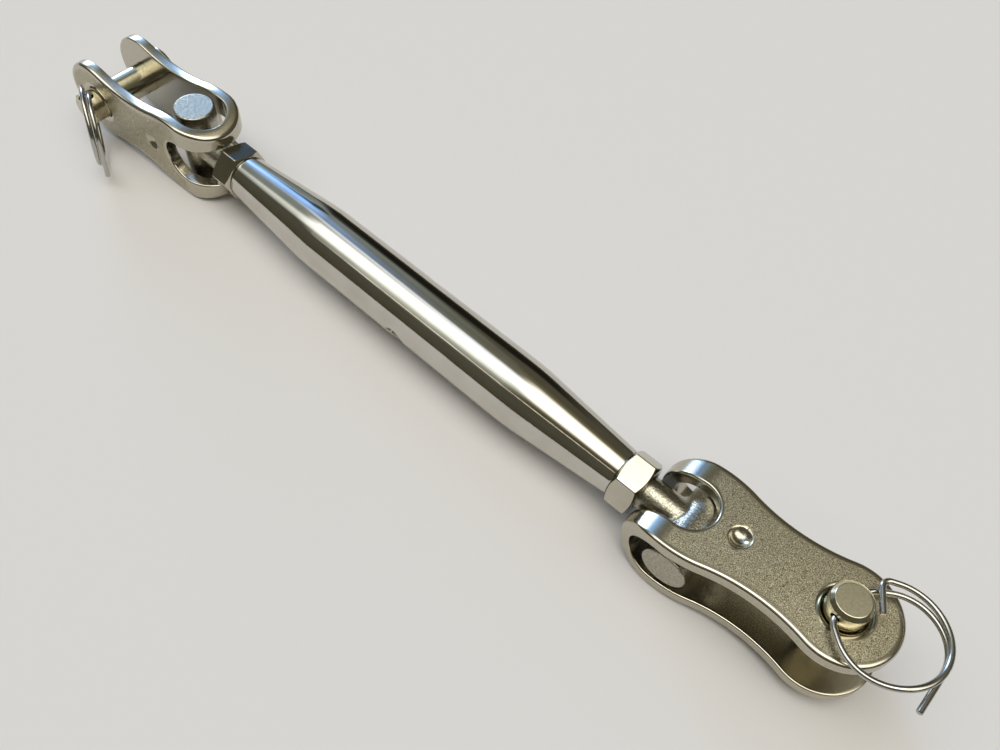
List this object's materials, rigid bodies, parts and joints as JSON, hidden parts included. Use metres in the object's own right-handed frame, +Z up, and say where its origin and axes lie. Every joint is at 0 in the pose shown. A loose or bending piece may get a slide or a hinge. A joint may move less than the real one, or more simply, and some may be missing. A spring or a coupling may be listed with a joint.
{
  "type": "shroud adjuster",
  "caption": "Closed-body rigging screw: a tapered turning tube with a bar hole draws threaded T-bolts in or out, each held in a folded toggle jaw with a clevis pin and cotter ring.",
  "frame": {"origin": "centre of the closed body, on the axis of its turning-bar hole", "axes": "+X along the body towards the end whose jaw lies flat, +Z up from the table that it lies on"},
  "size_m": [0.2447, 0.0338, 0.0294],
  "materials": {
    "body_steel": "polished",
    "nut_steel": "polished",
    "bolt_steel": "drawn and brushed",
    "toggle_steel": "tumbled, edges polished",
    "pin_steel": "turned, satin",
    "ring_wire": "drawn, bright"
  },
  "bodies": {
    "body": {"body_tube": "body_steel"},
    "near_nut": {"near_lock_nut": "nut_steel"},
    "far_nut": {"far_lock_nut": "nut_steel"},
    "near_bolt": {"near_t_bolt": "bolt_steel"},
    "far_bolt": {"far_t_bolt": "bolt_steel"},
    "near_jaw": {"near_toggle": "toggle_steel"},
    "far_jaw": {"far_toggle": "toggle_steel"},
    "near_pin": {"near_clevis_pin": "pin_steel"},
    "far_pin": {"far_clevis_pin": "pin_steel"},
    "near_ring": {"near_cotter_ring": "ring_wire"},
    "far_ring": {"far_cotter_ring": "ring_wire"}
  },
  "joints": [
    {"name": "screw_turn", "type": "hinge", "parent": "body", "child": "near_nut", "pos_m": [0.06, 0, 0], "axis": [1, 0, 0], "range_deg": [0, 10800]},
    {"name": "near_screw_travel", "type": "slide", "parent": "near_nut", "child": "near_bolt", "axis": [1, 0, 0], "range_m": [0, 0.0375]},
    {"name": "far_screw_turn", "type": "hinge", "parent": "body", "child": "far_nut", "pos_m": [-0.06, 0, 0], "axis": [1, 0, 0], "range_deg": [0, 10800]},
    {"name": "far_screw_travel", "type": "slide", "parent": "far_nut", "child": "far_bolt", "axis": [-1, 0, 0], "range_m": [0, 0.0375]},
    {"name": "near_jaw_swing", "type": "hinge", "parent": "near_bolt", "child": "near_jaw", "pos_m": [0.0784, 0, 0], "axis": [0, 1, 0], "range_deg": [-71.3, 84.7]},
    {"name": "far_jaw_swing", "type": "hinge", "parent": "far_bolt", "child": "far_jaw", "pos_m": [-0.0781, 0, 0], "axis": [0, 0, 1], "range_deg": [-80.5, 75.5]},
    {"name": "near_pin_spin", "type": "hinge", "parent": "near_jaw", "child": "near_pin", "pos_m": [0.10865, 0, 0.00305], "axis": [-0.1167, 0, 0.9932], "continuous": true},
    {"name": "far_pin_spin", "type": "hinge", "parent": "far_jaw", "child": "far_pin", "pos_m": [-0.10847, -0.00133, 0.0002], "axis": [0.0436, -0.999, 0], "continuous": true},
    {"name": "near_ring_swing", "type": "hinge", "parent": "near_pin", "child": "near_ring", "pos_m": [0.10733, 0, 0.01432], "axis": [-0.2302, -0.9728, -0.027], "range_deg": [-4, 172]},
    {"name": "far_ring_swing", "type": "hinge", "parent": "far_pin", "child": "far_ring", "pos_m": [-0.10798, -0.01267, 0.0002], "axis": [-0.2077, -0.0091, -0.9781], "range_deg": [-34, 142]}
  ],
  "couplings": [
    {"joint": "near_screw_travel", "follows": "screw_turn", "m_per_rad": 0.00019894},
    {"joint": "far_screw_turn", "follows": "screw_turn", "ratio": 1},
    {"joint": "far_screw_travel", "follows": "screw_turn", "m_per_rad": 0.00019894}
  ]
}
